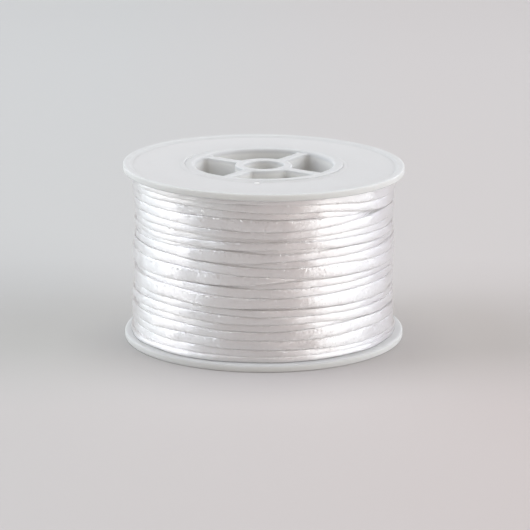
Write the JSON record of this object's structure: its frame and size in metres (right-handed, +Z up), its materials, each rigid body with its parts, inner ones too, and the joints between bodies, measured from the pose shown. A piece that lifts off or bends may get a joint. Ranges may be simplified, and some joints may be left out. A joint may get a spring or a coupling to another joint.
{
  "type": "roll of rattail cord on a spool",
  "caption": "White satin rattail cord wound in uneven turns on a round plastic spool with two flanges, a spoked core and a central bore, standing on its lower flange.",
  "frame": {"origin": "on the surface the roll stands on, under the middle of the spool", "axes": "+Z up along the spool's axis; -Y towards the side that the picture shows; +X to the right in that view"},
  "size_m": [0.055, 0.055, 0.0349],
  "materials": {
    "spool": "translucent white moulded plastic, softly polished",
    "cord": "white satin with a bright sheen across the cord and a fine weave"
  },
  "bodies": {
    "root": {"spool_barrel": "spool", "flange_top": "spool", "flange_bottom": "spool", "cord_winding": "cord"}
  },
  "joints": []
}
